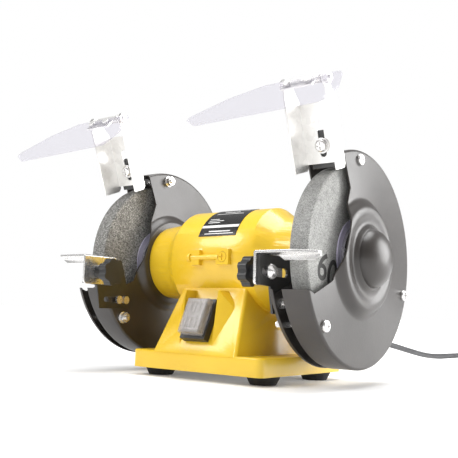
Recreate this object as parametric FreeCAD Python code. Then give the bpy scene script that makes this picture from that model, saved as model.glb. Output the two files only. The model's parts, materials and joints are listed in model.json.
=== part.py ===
import FreeCAD, Part
import math
import os

# Twin-wheel bench grinder, millimetres. X runs along the motor shaft, left wheel at -X.
# The operator stands at -Y. The four rubber feet stand on z = 0, under the middle of the base.

V = FreeCAD.Vector
X_AXIS = V(1, 0, 0)
os.makedirs("parts", exist_ok=True)

# ---- driving sizes: general ----
axis_height = 102.0        # shaft axis above the bench
steel = 1.2                # guard sheet
wall = 3.0                 # cast wall
slack = 0.3                # free gap between fitted castings and sheet parts
slide_gap = 0.1            # gap between plates that slide on each other

# ---- base ----
foot_height = 7.0
foot_radius = 14.0
foot_taper = 3.5
foot_spigot_radius = 9.0
foot_spigot_depth = 3.0
slab_length = 138.0        # along X
slab_depth = 126.0         # along Y
slab_height = 15.0
slab_corner = 6.0
slab_edge = 1.5
bolt_hole_radius = 3.5
bolt_spacing_x = 110.0
bolt_spacing_y = 80.0
boss_radius = 11.5
pedestal_foot_length = 89.0
pedestal_top_length = 70.0
pedestal_top_depth = 76.0
pedestal_edge = 3.0
fin_inner = 17.2           # inner flank of the fins beside the switch
fin_outer = 29.0
fin_reach = 13.0
fin_low = 3.6
fin_high = 57.6
fin_crest = 51.0
fin_outer_height = 41.0
bottom_plate_thickness = 1.5
bottom_recess = 3.0        # plate above the casting's lower edge
bottom_screw_radius = 1.8
bottom_post_radius = 4.0
bottom_screw_length = 10.0
wire_hole_radius = 5.0

# ---- motor ----
barrel_radius = 45.8
barrel_half = 42.5
cone_length = 13.5
cone_radius = 36.5
collar_end = 81.0
collar_end_radius = 34.0
band_left = -8.5
band_right = 10.0
stator_half = 20.0
stator_bore_radius = 26.0
air_gap = 0.5
winding_inner_radius = 29.0
winding_outer_radius = 40.0
winding_length = 14.0
lug_reach = 3.5
lug_half_height = 6.5
left_lug_length = 9.5
right_lug_length = 13.0
tie_bolt_radius = 2.4
lock_screw_radius = 4.2
lock_screw_core = 2.0
label_left = -16.0
label_right = 24.5
label_low_angle = 24.0     # degrees above the front
label_high_angle = 80.0
label_thickness = 0.4

# ---- spindle ----
bearing_bore_radius = 7.5
bearing_outer_radius = 17.5
bearing_width = 11.0
bearing_inner_face = 64.0
ball_count = 8
hub_wall = 3.5
shaft_core_radius = 8.5
shaft_hole_radius = 9.5
spigot_radius = 6.33
thread_radius = 6.0
shoulder = 94.4
flange_radius = 27.0
flange_thickness = 3.8
blotter_radius = 32.5
blotter_thickness = 1.0
bush_radius = 10.0
nut_width = 19.0
nut_thickness = 10.0
thread_runout = 2.5
wheel_radius = 75.0
wheel_width = 16.0
wheel_chamfer = 1.0

# ---- guards ----
guard_gap = 13.0           # between the wheel's rim and the guard's
guard_boss_height = 6.0
guard_boss_radius = 38.0
guard_boss_foot = 46.0
guard_depth = 34.5
guard_corner = 2.5
narrow_rim = 4.0
wide_rim = 22.5
cover_boss_height = 7.3
cover_step_height = 9.5
dome_radius = 24.5
dome_height = 22.8
dome_flat = 1.2            # blunt end of the dome
guard_shaft_hole = 14.0
guard_bolt_inset = 8.0     # guard bolts inside the guard's rim
guard_bolt_angles = (85.0, -42.0, 199.0)   # degrees from the front, upwards
guard_bolt_radius = 2.4
screw_play = 0.2           # screw holes are this much larger than their screws, in radius
mount_screw_circle = 26.0
mount_screw_radius = 2.4
# window in both guard pans, (y, z) from the shaft axis: the wheel is open to the front here
window = ((-40.6, 97.0), (-22.0, 54.5), (-45.0, -13.0), (-47.6, -19.8), (-74.2, -30.8), (-83.7, -28.0),
          (-125.0, -16.0), (-125.0, 40.0))

# ---- tool rests ----
rest_sheet = 2.0
rest_gap = 4.0             # between the right-hand rest and its wheel
left_rest_forward = 14.0   # the left rest is set this much further out along its slot
rest_flange_length = 36.0
rest_flange_height = 25.0
rest_flange_corner = 3.0
rest_plate_depth = 18.0
rest_plate_reach = 46.5
rest_chamfer = 14.0
rest_drop = 0.5            # table below the shaft axis
rest_lip_height = 6.5
rest_lip_length = 30.0
rest_bolt_back = 17.0      # from the rest's front edge to the bolt
rest_bolt_drop = 15.0      # bolt below the shaft axis
rest_bolt_radius = 2.9
rest_bolt_head_radius = 5.8
rest_bolt_head_height = 4.0
rest_washer_thickness = 1.0
slot_clearance = 0.5
bracket_sheet = 2.0
bracket_inset = 2.0        # bracket's front edge behind the rest's
bracket_slot_length = 34.0
bracket_slot_margin = 4.0
bracket_waist = 45.0       # from the rest's front edge to the bracket's back at the top
bracket_heel = 58.0        # and at its foot
bracket_foot_rise = 16.0
bracket_foot_half = 8.0
bracket_screw_drop = 38.0
bracket_screw_ys = (-68.0, -60.0)
bracket_screw_slot = (26.0, 55.0)   # ends of the screw slot, from the rest's front edge
bracket_screw_radius = 1.9
knob_radius = 11.8
knob_lobes = 7
knob_lobe_radius = 3.4
knob_thickness = 8.0
knob_hub_radius = 6.0
knob_hub_length = 11.0

# ---- spark arrestors, shield arms and eye shields ----
arm_leans = {"right": 18.0, "left": 21.0}
arm_screw_angle = 63.6     # clamping screw, degrees above the front
arm_screw_stand = 7.7      # and outside the guard's rim
arm_sheet = 1.5
arm_width = 34.0
arm_web_bottom = -14.0
arm_web_top = 34.0
arm_flange_bottom = -19.0
arm_left_depth = 20.0
arm_right_depth = 13.0
arm_slot_width = 5.6
arm_slot_bottom = -9.0
arm_slot_top = 21.0
arm_screw_radius = 2.4
arm_screw_head = 5.0
arm_washer_radius = 6.2
arm_washer_thickness = 1.0
arrestor_sheet = 2.0
arrestor_half_width = 12.5
arrestor_bottom = -18.0
arrestor_top = 12.0
arrestor_ear_back_angle = 96.0
arrestor_ears = {"right": (-6.0, 10.0), "left": (0.0, 15.0)}
rod_y = -12.0
rod_z = 50.5
rod_radius = 2.0
rod_clearance = 0.06
rod_nut_width = 8.0
rod_nut_thickness = 4.0
ear_radius = 4.2
holder_half_length = 14.0
holder_eye_radius = 3.4
holder_sheet = 1.5
holder_leaf_depth = 16.0
shield_thickness = 2.0
# outline of the eye shields: (x from the arm's middle, forward of the rod)
shield_outline = ((-32.0, 6.0), (36.0, 6.0), (44.0, 34.0), (38.0, 53.0), (-70.0, 58.0), (-88.0, 46.0),
                  (-60.0, 19.0))
shield_corner = 6.0
shield_slopes = {"right": 42.0, "left": 47.0}
rivet_radius = 1.6
rivet_spacing = 18.0
rivet_reach = 11.0

# ---- switch ----
switch_width = 26.0
switch_low = 10.0
switch_height = 36.0
switch_proud = 7.0
switch_body_width = 22.4
switch_body_height = 30.0
switch_body_depth = 18.0
rocker_width = 17.0
rocker_length = 25.0
rocker_swing = 7.0
rocker_sink = 3.0
cover_width = 22.4
cover_length = 31.0
cover_height = 8.0
cover_wall = 1.1

# ---- electrical pieces in the base ----
capacitor_radius = 14.0
capacitor_length = 48.0
capacitor_y = 26.0
clip_width = 12.0
clip_sheet = 1.0
terminal_size = (34.0, 16.0, 12.0)
terminal_y = -12.0

# ---- cord ----
cord_radius = 3.3
cord_exit_x = -10.0
cord_exit_z = 45.0
cord_boss_end = 58.0
relief_radius = 5.6
relief_length = 28.0
relief_collar_radius = 8.0
relief_collar_length = 2.5
coil_turn_radius = 38.0
coil_centre = (51.5, 664.0)
plug_tail_gap = 30.0       # from the coil's centre line to the start of the plug's tail
plug_tail_length = 20.0
plug_length = 40.0
plug_width = 36.0
plug_thickness = 16.0
plug_corner = 6.0
pin_radius = 2.4
pin_length = 19.0
pin_spacing = 19.0

# ---- sizes that follow ----
slab_top = foot_height + slab_height
front_y = -slab_depth / 2
pedestal_top_z = axis_height - math.sqrt(barrel_radius ** 2 - (pedestal_top_depth / 2) ** 2)
face_rise = pedestal_top_z - slab_top
face_run = (slab_depth - pedestal_top_depth) / 2
face_tilt = math.degrees(math.atan2(face_run, face_rise))
plate_bottom = foot_height + bottom_recess
left_lug = (band_left - left_lug_length, band_left)
right_lug = (band_right, band_right + right_lug_length)
guard_radius = wheel_radius + guard_gap
guard_bolt_circle = guard_radius - guard_bolt_inset
guard_face = collar_end + guard_boss_height
cover_face = guard_face + guard_depth
wheel_inner_face = shoulder + flange_thickness + blotter_thickness
wheel_outer_face = wheel_inner_face + wheel_width
wheel_centre = (wheel_inner_face + wheel_outer_face) / 2
outer_flange_face = wheel_outer_face + blotter_thickness + flange_thickness
shaft_end = outer_flange_face + nut_thickness + thread_runout
rest_front = -(wheel_radius + rest_gap + rest_plate_depth)   # front edge of the right-hand rest
bracket_inner = guard_face - bracket_sheet
rest_inner = bracket_inner - slide_gap - rest_sheet
shield_offset = holder_eye_radius   # sheet above the rod's axis
bearing_outer_face = bearing_inner_face + bearing_width
end_wall_face = collar_end - wall
sides = {"left": -1, "right": 1}


def save(name, shape):
    """Write one node, after a check that every solid in it is sound."""
    solids = shape.Solids
    if not solids or not all(solid.isValid() and solid.Volume > 0 for solid in solids):
        raise ValueError("unsound solid in " + name)
    shape.exportStep("parts/" + name + ".step")
    print(name, len(solids), "solid(s)", round(shape.Volume), "mm3")


def group(shapes):
    return Part.makeCompound([solid for shape in shapes for solid in shape.Solids])


def box(x0, x1, y0, y1, z0, z1):
    return Part.makeBox(x1 - x0, y1 - y0, z1 - z0, V(x0, y0, z0))


def rod_x(radius, x0, x1, y=0.0, z=axis_height):
    return Part.makeCylinder(radius, x1 - x0, V(x0, y, z), X_AXIS)


def rod_y_dir(radius, y0, y1, x, z):
    return Part.makeCylinder(radius, y1 - y0, V(x, y0, z), V(0, 1, 0))


def rod_z_dir(radius, z0, z1, x, y):
    return Part.makeCylinder(radius, z1 - z0, V(x, y, z0), V(0, 0, 1))


def ring_x(outer, inner, x0, x1):
    return rod_x(outer, x0, x1).cut(rod_x(inner, x0 - 1, x1 + 1))


def hex_x(width, x0, x1, y=0.0, z=axis_height):
    """Hexagonal bar along X, width across its flats."""
    corner = width / math.sqrt(3)
    points = [V(x0, y + corner * math.sin(math.radians(60 * k)), z + corner * math.cos(math.radians(60 * k)))
              for k in range(7)]
    return Part.Face(Part.makePolygon(points)).extrude(V(x1 - x0, 0, 0))


def prism_x(points, x0, x1):
    """Prism along X over an outline of (y, z) points."""
    outline = [V(x0, y, z) for y, z in points]
    return Part.Face(Part.makePolygon(outline + outline[:1])).extrude(V(x1 - x0, 0, 0))


def slot_x(y0, y1, z, width, x0, x1):
    """Round-ended slot that runs along Y and goes through along X."""
    radius = width / 2
    middle = box(x0, x1, y0 + radius, y1 - radius, z - radius, z + radius)
    return middle.fuse([rod_x(radius, x0, x1, y0 + radius, z), rod_x(radius, x0, x1, y1 - radius, z)])


def turned(steps):
    """Solid of revolution about the shaft axis; steps are (x, r) points or (x, r, mid_x, mid_r) arcs."""
    edges = []
    here = V(steps[0][0], 0, steps[0][1])
    for step in steps[1:] + steps[:1]:
        there = V(step[0], 0, step[1])
        if len(step) == 4:
            edges.append(Part.Arc(here, V(step[2], 0, step[3]), there).toShape())
        else:
            edges.append(Part.makeLine(here, there))
        here = there
    solid = Part.Face(Part.Wire(edges)).revolve(V(0, 0, 0), X_AXIS, 360)
    solid.translate(V(0, 0, axis_height))
    return solid


def mirrored(shape):
    return shape.mirror(V(0, 0, 0), X_AXIS)


def for_side(shape, side):
    return shape if side == "right" else mirrored(shape)


def wire_hole(top):
    """Hole for the leads, up from the pedestal into the middle of the motor's centre band."""
    return rod_z_dir(wire_hole_radius, axis_height - barrel_radius - 2 * wall, top,
                     (band_left + band_right) / 2, 0)


def around_axis(radius, angle):
    """(y, z) of a point at an angle above the front, seen along the shaft."""
    turn = math.radians(angle)
    return -radius * math.cos(turn), axis_height + radius * math.sin(turn)


# ---------------- base ----------------

def rounded_slab(length, depth, corner, z0, z1):
    block = box(-length / 2, length / 2, -depth / 2, depth / 2, z0, z1)
    uprights = [edge for edge in block.Edges if abs(edge.BoundBox.ZLength - (z1 - z0)) < 1e-6]
    return block.makeFillet(corner, uprights)


def pedestal_block(inset, z0, z1):
    """Tapered pedestal, its walls moved in by inset, carried on from z0 to z1 along its slopes."""
    def outline(z):
        share = (z - slab_top) / face_rise
        half_x = (pedestal_foot_length + share * (pedestal_top_length - pedestal_foot_length)) / 2 - inset
        half_y = (slab_depth + share * (pedestal_top_depth - slab_depth)) / 2 - inset
        corners = [V(-half_x, -half_y, z), V(half_x, -half_y, z), V(half_x, half_y, z), V(-half_x, half_y, z)]
        return Part.makePolygon(corners + corners[:1])
    return Part.makeLoft([outline(z0), outline(z1)], True, True)


def on_front(shape):
    """Lay a shape built against the plane y = 0 onto the pedestal's sloped front face."""
    shape.rotate(V(0, 0, 0), X_AXIS, -face_tilt)
    shape.translate(V(0, front_y, slab_top))
    return shape


def on_front_opening(width, height, depth, proud):
    middle = switch_low + switch_height / 2
    return on_front(box(-width / 2, width / 2, -proud, depth, middle - height / 2, middle + height / 2))


def bolt_points():
    return [(sx * bolt_spacing_x / 2, sy * bolt_spacing_y / 2) for sx in (-1, 1) for sy in (-1, 1)]


def bottom_screw_points():
    along_x = slab_length / 2 - wall - bottom_post_radius + 0.5
    along_y = slab_depth / 2 - wall - bottom_post_radius + 0.5
    return [(along_x, 0), (-along_x, 0), (26, -along_y), (26, along_y)]


def switch_fin():
    """Wedge beside the switch: upright inner flank, sloping outer flank."""
    inner = [V(fin_inner, 1, fin_low), V(fin_inner, -fin_reach, fin_crest), V(fin_inner, 1, fin_high)]
    outer = [V(fin_outer, 1, fin_outer_height - 5), V(fin_outer, 0, fin_outer_height),
             V(fin_outer, 1, fin_outer_height + 5)]
    return Part.makeLoft([Part.makePolygon(inner + inner[:1]), Part.makePolygon(outer + outer[:1])], True, True)


def base_casting():
    slab = rounded_slab(slab_length, slab_depth, slab_corner, foot_height, slab_top)
    top_edges = [edge for edge in slab.Edges if edge.BoundBox.ZMin > slab_top - 1e-6]
    slab = slab.makeFillet(slab_edge, top_edges)
    pedestal = pedestal_block(0, slab_top - 1, axis_height - 12)
    slopes = [edge for edge in pedestal.Edges if edge.BoundBox.ZLength > face_rise]
    pedestal = pedestal.makeFillet(pedestal_edge, slopes)
    outside = slab.fuse(pedestal)
    hollow = rounded_slab(slab_length - 2 * wall, slab_depth - 2 * wall, slab_corner - wall,
                          foot_height - 1, slab_top - wall)
    hollow = hollow.fuse(pedestal_block(wall, slab_top - wall - 1, axis_height - 12))
    saddle = pedestal_block(wall / 2, slab_top, axis_height - 12).common(
        rod_x(barrel_radius + wall, -pedestal_foot_length, pedestal_foot_length))
    hollow = hollow.cut(saddle)
    body = outside.cut(hollow)
    boss = rod_y_dir(relief_collar_radius + 1.5, cord_boss_end - 12, cord_boss_end, cord_exit_x, cord_exit_z)
    body = body.fuse(boss)
    for x, y in bolt_points():
        body = body.fuse(rod_z_dir(boss_radius, foot_height, slab_top - 1, x, y))
    for x, y in bottom_screw_points():
        body = body.fuse(rod_z_dir(bottom_post_radius, plate_bottom + bottom_plate_thickness, slab_top - 1, x, y))
    body = body.fuse([on_front(switch_fin()), on_front(mirrored(switch_fin()))])
    body = body.cut(rod_x(barrel_radius, -pedestal_foot_length, pedestal_foot_length))
    for x, y in bolt_points():
        body = body.cut(rod_z_dir(bolt_hole_radius, foot_height - 1, slab_top + 1, x, y))
        body = body.cut(rod_z_dir(foot_spigot_radius, foot_height - 1, foot_height + foot_spigot_depth, x, y))
    for x, y in bottom_screw_points():
        body = body.cut(rod_z_dir(bottom_screw_radius, plate_bottom, plate_bottom + bottom_screw_length, x, y))
    body = body.cut(on_front_opening(switch_body_width + 2 * slack, switch_body_height + 2 * slack, 12, 2))
    body = body.cut(rod_y_dir(relief_radius, cord_boss_end - 12, cord_boss_end + 1, cord_exit_x, cord_exit_z))
    body = body.cut(wire_hole(axis_height))
    return body.removeSplitter()


def bottom_plate():
    margin = wall + slack
    plate = rounded_slab(slab_length - 2 * margin, slab_depth - 2 * margin, slab_corner - wall,
                         plate_bottom, plate_bottom + bottom_plate_thickness)
    for x, y in bolt_points():
        plate = plate.cut(rod_z_dir(boss_radius + slack, 0, slab_top, x, y))
        corner = box(min(x, 2 * x), max(x, 2 * x), min(y, 2 * y), max(y, 2 * y), 0, slab_top)
        plate = plate.cut(corner)
    for x, y in bottom_screw_points():
        plate = plate.cut(rod_z_dir(bottom_screw_radius, 0, slab_top, x, y))
    return plate


def bottom_screws():
    screws = []
    for x, y in bottom_screw_points():
        head = rod_z_dir(3.4, plate_bottom - 2.2, plate_bottom, x, y)
        screws.append(head.fuse(rod_z_dir(bottom_screw_radius, plate_bottom - 1,
                                          plate_bottom + bottom_screw_length, x, y)))
    return group(screws)


def rubber_feet():
    feet = []
    for x, y in bolt_points():
        pad = Part.makeCone(foot_radius - foot_taper, foot_radius, foot_height, V(x, y, 0))
        spigot = rod_z_dir(foot_spigot_radius, foot_height - 1, foot_height + foot_spigot_depth, x, y)
        feet.append(pad.fuse(spigot).cut(rod_z_dir(bolt_hole_radius, -1, slab_top, x, y)))
    return group(feet)


# ---------------- switch ----------------

def switch_middle():
    return switch_low + switch_height / 2


def switch_housing():
    middle = switch_middle()
    frame = box(-switch_width / 2, switch_width / 2, -switch_proud, 0, switch_low, switch_low + switch_height)
    body = box(-switch_body_width / 2, switch_body_width / 2, -1, switch_body_depth,
               middle - switch_body_height / 2, middle + switch_body_height / 2)
    mouth = box(-rocker_width / 2 - slack, rocker_width / 2 + slack, -switch_proud - 1, 9,
                middle - rocker_length / 2 - 1, middle + rocker_length / 2 + 1)
    tabs = [box(x - 0.4, x + 0.4, switch_body_depth - 1, switch_body_depth + 8, z - 3, z + 3)
            for x in (-6, 6) for z in (middle - 8, middle + 8)]
    return on_front(frame.fuse([body] + tabs).cut(mouth))


def rocker_pivot():
    """(y, z) of the rocker's pivot, in the plane of the sloped face."""
    return -switch_proud + rocker_sink, switch_middle()


def switch_rocker():
    y, z = rocker_pivot()
    half = rocker_length / 2
    cap = prism_x([(y - 4.2, z), (y - 5.6, z + half - 0.6), (y + 2.5, z + half - 1.4), (y + 4.5, z),
                   (y + 2.5, z - half + 1.4), (y - 5.6, z - half + 0.6)], -rocker_width / 2, rocker_width / 2)
    cap.rotate(V(0, y, z), X_AXIS, rocker_swing)
    return on_front(cap)


def dust_cover():
    middle = switch_middle()
    shell = box(-cover_width / 2, cover_width / 2, -switch_proud - cover_height, -switch_proud,
                middle - cover_length / 2, middle + cover_length / 2)
    front_edges = [edge for edge in shell.Edges if edge.BoundBox.YMax < -switch_proud - cover_height + 1e-6]
    shell = shell.makeFillet(2.0, front_edges)
    room = box(-cover_width / 2 + cover_wall, cover_width / 2 - cover_wall,
               -switch_proud - cover_height + cover_wall, -switch_proud + 1,
               middle - cover_length / 2 + cover_wall, middle + cover_length / 2 - cover_wall)
    return on_front(shell.cut(room))


# ---------------- motor ----------------

def end_housing(seam):
    """Right-hand end housing, from its seam to the collar's end wall, with the bearing hub inside."""
    inner = barrel_radius - wall
    hub = bearing_outer_radius + hub_wall
    profile = [(seam, barrel_radius), (barrel_half, barrel_radius), (barrel_half + cone_length, cone_radius),
               (collar_end, collar_end_radius), (collar_end, shaft_hole_radius),
               (end_wall_face, shaft_hole_radius), (end_wall_face, bearing_outer_radius),
               (bearing_inner_face - 2, bearing_outer_radius), (bearing_inner_face - 2, hub), (end_wall_face, hub),
               (end_wall_face, collar_end_radius - wall), (barrel_half + cone_length - 1, cone_radius - wall),
               (barrel_half - 1, inner), (seam, inner)]
    housing = turned(profile)
    for k in range(3):
        y, z = around_axis(mount_screw_circle, 90 + 120 * k)
        housing = housing.cut(rod_x(mount_screw_radius, end_wall_face - 1, collar_end + 1, y, z))
    return housing


def lug_pair(x0, x1):
    """A square lug on the front of the barrel and one on the back."""
    reach = barrel_radius + lug_reach
    low = axis_height - lug_half_height
    high = axis_height + lug_half_height
    front = box(x0, x1, -reach, -barrel_radius + wall, low, high)
    back = box(x0, x1, barrel_radius - wall, reach, low, high)
    return [front.cut(rod_x(barrel_radius - 0.5, x0 - 1, x1 + 1)),
            back.cut(rod_x(barrel_radius - 0.5, x0 - 1, x1 + 1))]


def tie_bolt_y():
    return barrel_radius + tie_bolt_radius - 0.6


def motor_ends():
    left = mirrored(end_housing(-band_left)).fuse(lug_pair(*left_lug))
    right = end_housing(band_right).fuse(lug_pair(*right_lug))
    lock_x = (right_lug[0] + right_lug[1]) / 2
    for y in (-tie_bolt_y(), tie_bolt_y()):
        bolt = rod_x(tie_bolt_radius, left_lug[0] - 1, right_lug[0] + 2, y)
        left = left.cut(bolt)
        right = right.cut(bolt)
    depth = barrel_radius - wall
    right = right.cut(rod_y_dir(lock_screw_radius + slack, -barrel_radius - lug_reach - 1,
                                -barrel_radius - lug_reach + 2.4, lock_x, axis_height))
    right = right.cut(rod_y_dir(lock_screw_core, -barrel_radius - lug_reach, -depth + 2, lock_x, axis_height))
    return left, right


def lock_screw():
    lock_x = (right_lug[0] + right_lug[1]) / 2
    face = -barrel_radius - lug_reach + 2.4
    head = rod_y_dir(lock_screw_radius, face - 2.6, face, lock_x, axis_height)
    head = head.cut(box(lock_x - 0.5, lock_x + 0.5, face - 3, face - 1.6, axis_height - 3, axis_height + 3))
    head = head.cut(box(lock_x - 3, lock_x + 3, face - 3, face - 1.6, axis_height - 0.5, axis_height + 0.5))
    return head.fuse(rod_y_dir(lock_screw_core, face - 1, -barrel_radius + wall, lock_x, axis_height))


def tie_bolts():
    bolts = []
    for y in (-tie_bolt_y(), tie_bolt_y()):
        shank = rod_x(tie_bolt_radius, left_lug[0] - 1, right_lug[0] + 2, y)
        head = rod_x(tie_bolt_radius + 1.5, left_lug[0] - 3, left_lug[0], y)
        bolts.append(shank.fuse(head).cut(rod_x(barrel_radius, -barrel_half, barrel_half)))
    return group(bolts)


def centre_band():
    band = ring_x(barrel_radius, barrel_radius - wall, band_left, band_right)
    return band.cut(wire_hole(axis_height))


def rating_plate():
    plate = ring_x(barrel_radius + label_thickness, barrel_radius, label_left, label_right)
    middle = math.radians((label_low_angle + label_high_angle) / 2)
    half = math.radians((label_high_angle - label_low_angle) / 2)
    far = 2 * barrel_radius
    wedge = [(0, axis_height)]
    for turn in (middle - half, middle, middle + half):
        wedge.append((-far * math.cos(turn), axis_height + far * math.sin(turn)))
    return plate.common(prism_x(wedge, label_left - 1, label_right + 1))


def stator_core():
    core = ring_x(barrel_radius - wall, stator_bore_radius, -stator_half, stator_half)
    return core.cut(wire_hole(axis_height - barrel_radius + 2 * wall))


def windings():
    right = ring_x(winding_outer_radius, winding_inner_radius, stator_half, stator_half + winding_length)
    return group([right, mirrored(right)])


# ---------------- spindle ----------------

def shaft():
    steps = [(0, 0.0), (0, shaft_core_radius), (bearing_inner_face, shaft_core_radius),
             (bearing_inner_face, bearing_bore_radius), (shoulder, bearing_bore_radius),
             (shoulder, spigot_radius), (outer_flange_face, spigot_radius), (outer_flange_face, thread_radius),
             (shaft_end - 1, thread_radius), (shaft_end, thread_radius - 1), (shaft_end, 0.0)]
    half = turned(steps)
    return half.fuse(mirrored(half)).removeSplitter()


def rotor_core():
    core = ring_x(stator_bore_radius - air_gap, shaft_core_radius, -stator_half, stator_half)
    end_ring = ring_x(stator_bore_radius - 3, shaft_core_radius + 4, stator_half, stator_half + 5)
    return core.fuse([end_ring, mirrored(end_ring)])


def bearing_pieces():
    outer = ring_x(bearing_outer_radius, bearing_outer_radius - 2.5, bearing_inner_face, bearing_outer_face)
    inner = ring_x(bearing_bore_radius + 2.5, bearing_bore_radius, bearing_inner_face, bearing_outer_face)
    pitch = (bearing_outer_radius + bearing_bore_radius) / 2
    ball_radius = (bearing_outer_radius - bearing_bore_radius) / 2 - 2.5 - 0.05
    middle = (bearing_inner_face + bearing_outer_face) / 2
    balls = []
    for k in range(ball_count):
        y, z = around_axis(pitch, 360.0 * k / ball_count)
        balls.append(Part.makeSphere(ball_radius, V(middle, y, z)))
    balls += [mirrored(ball) for ball in balls]
    return group([outer, mirrored(outer)]), group([inner, mirrored(inner)]), group(balls)


def wave_washer():
    return ring_x(bearing_outer_radius - 0.5, bearing_outer_radius - 3.5, bearing_outer_face, end_wall_face)


def grinding_wheel():
    outer = wheel_radius
    steps = [(wheel_inner_face, bush_radius), (wheel_inner_face, outer - wheel_chamfer),
             (wheel_inner_face + wheel_chamfer, outer), (wheel_outer_face - wheel_chamfer, outer),
             (wheel_outer_face, outer - wheel_chamfer), (wheel_outer_face, bush_radius)]
    return turned(steps)


def wheel_bushes():
    bush = ring_x(bush_radius, spigot_radius, wheel_inner_face, wheel_outer_face)
    return group([bush, mirrored(bush)])


def wheel_blotters():
    inner = ring_x(blotter_radius, spigot_radius, wheel_inner_face - blotter_thickness, wheel_inner_face)
    outer = ring_x(blotter_radius, spigot_radius, wheel_outer_face, wheel_outer_face + blotter_thickness)
    return group([inner, outer, mirrored(inner), mirrored(outer)])


def wheel_flange(back, face):
    """Clamping flange between its plain back and its relieved face, which bears on the wheel's side."""
    recess = 1.2
    inset = recess if face > back else -recess
    return turned([(back, spigot_radius), (back, flange_radius - 2), (back + inset, flange_radius),
                   (face, flange_radius), (face, flange_radius - 6), (face - inset, flange_radius - 7),
                   (face - inset, spigot_radius)])


def wheel_flanges(inner_face_of_pair):
    shapes = []
    for flange in inner_face_of_pair:
        shapes += [flange, mirrored(flange)]
    return group(shapes)


def shaft_nut():
    nut = hex_x(nut_width, outer_flange_face, outer_flange_face + nut_thickness)
    return nut.cut(rod_x(thread_radius, outer_flange_face - 1, shaft_end))


# ---------------- guards ----------------

def guard_window(shape):
    outline = [(y, axis_height + z) for y, z in window]
    return shape.cut(prism_x(outline, guard_face - 20, cover_face + 40))


def drill_guard(shape):
    for angle in guard_bolt_angles:
        y, z = around_axis(guard_bolt_circle, angle)
        shape = shape.cut(rod_x(guard_bolt_radius + screw_play, guard_face - 5, cover_face + 5, y, z))
    return shape


def motor_side_pan(rim):
    """Pan next to the motor: its pressed boss seats on the collar, its rim turns outwards."""
    bend = 0.29 * guard_corner
    steps = [(guard_face + rim, guard_radius), (guard_face + guard_corner, guard_radius),
             (guard_face, guard_radius - guard_corner, guard_face + bend, guard_radius - bend),
             (guard_face, guard_boss_foot), (collar_end, guard_boss_radius), (collar_end, guard_shaft_hole),
             (collar_end + steel, guard_shaft_hole), (collar_end + steel, guard_boss_radius - 0.5),
             (guard_face + steel, guard_boss_foot - 0.5), (guard_face + steel, guard_radius - steel - 2),
             (guard_face + steel + 2, guard_radius - steel), (guard_face + rim, guard_radius - steel)]
    if rim <= guard_corner:
        steps = steps[:1] + steps[2:]
        steps[1] = (guard_face, guard_radius - rim, guard_face + 0.29 * rim, guard_radius - 0.29 * rim)
    pan = drill_guard(guard_window(turned(steps)))
    for k in range(3):
        y, z = around_axis(mount_screw_circle, 90 + 120 * k)
        pan = pan.cut(rod_x(mount_screw_radius + screw_play, collar_end - 1, guard_face, y, z))
    for y in bracket_screw_ys:
        pan = pan.cut(rod_x(bracket_screw_radius + screw_play, guard_face - 2, guard_face + 4, y,
                            axis_height - bracket_screw_drop))
    return pan


def outer_cover(rim):
    """Outer cover: rim turned towards the motor, raised ring and pointed dome over the shaft nut."""
    bend = 0.29 * guard_corner
    ring_x0 = cover_face + cover_boss_height
    step_x = cover_face + cover_step_height
    tip = cover_face + dome_height
    inner = cover_face - steel
    steps = [(cover_face - rim, guard_radius), (cover_face - guard_corner, guard_radius),
             (cover_face, guard_radius - guard_corner, cover_face - bend, guard_radius - bend),
             (cover_face, guard_boss_foot), (ring_x0, guard_boss_radius), (step_x, dome_radius),
             (tip, dome_flat, cover_face + 0.76 * dome_height, 0.56 * dome_radius),
             (tip, 0.0), (tip - steel, 0.0), (tip - steel, dome_flat),
             (step_x - steel, dome_radius - 1.0, cover_face + 0.76 * dome_height - steel, 0.56 * dome_radius - 0.6),
             (ring_x0 - steel, guard_boss_radius - 0.5), (inner, guard_boss_foot - 0.5),
             (inner, guard_radius - steel - 2), (inner - 2, guard_radius - steel),
             (cover_face - rim, guard_radius - steel)]
    if rim <= guard_corner:
        steps = steps[:1] + steps[2:]
        steps[1] = (cover_face, guard_radius - rim, cover_face - 0.29 * rim, guard_radius - 0.29 * rim)
    return drill_guard(guard_window(turned(steps)))


def guard_bolts():
    """Long pan-head bolts across each guard, head on the cover, three to a side."""
    bolts = []
    for angle in guard_bolt_angles:
        y, z = around_axis(guard_bolt_circle, angle)
        bolt = rod_x(guard_bolt_radius, guard_face - 7, cover_face + 1, y, z)
        head = rod_x(2 * guard_bolt_radius, cover_face, cover_face + 2.8, y, z)
        rims = [edge for edge in head.Edges if edge.BoundBox.XMin > cover_face + 2]
        head = head.makeFillet(1.6, rims)
        head = head.cut(box(cover_face + 1.6, cover_face + 3, y - 0.5, y + 0.5, z - 2.8, z + 2.8))
        head = head.cut(box(cover_face + 1.6, cover_face + 3, y - 2.8, y + 2.8, z - 0.5, z + 0.5))
        bolts.append(bolt.fuse(head))
    return group(bolts + [mirrored(bolt) for bolt in bolts])


def guard_nuts():
    nuts = []
    for angle in guard_bolt_angles:
        y, z = around_axis(guard_bolt_circle, angle)
        washer = rod_x(2 * guard_bolt_radius + 0.4, guard_face - 1, guard_face, y, z)
        nut = hex_x(8.0, guard_face - 5, guard_face - 1, y, z)
        nuts.append(washer.fuse(nut).cut(rod_x(guard_bolt_radius, guard_face - 10, guard_face + 5, y, z)))
    return group(nuts + [mirrored(nut) for nut in nuts])


def guard_mount_screws():
    screws = []
    for k in range(3):
        y, z = around_axis(mount_screw_circle, 90 + 120 * k)
        shank = rod_x(mount_screw_radius, end_wall_face - 1, collar_end + steel + 1, y, z)
        head = rod_x(4.6, collar_end + steel, collar_end + steel + 2.8, y, z)
        screws.append(shank.fuse(head))
    return group(screws + [mirrored(screw) for screw in screws])


# ---------------- tool rests ----------------

def rest_edge(side):
    return rest_front - (left_rest_forward if side == "left" else 0.0)


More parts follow.
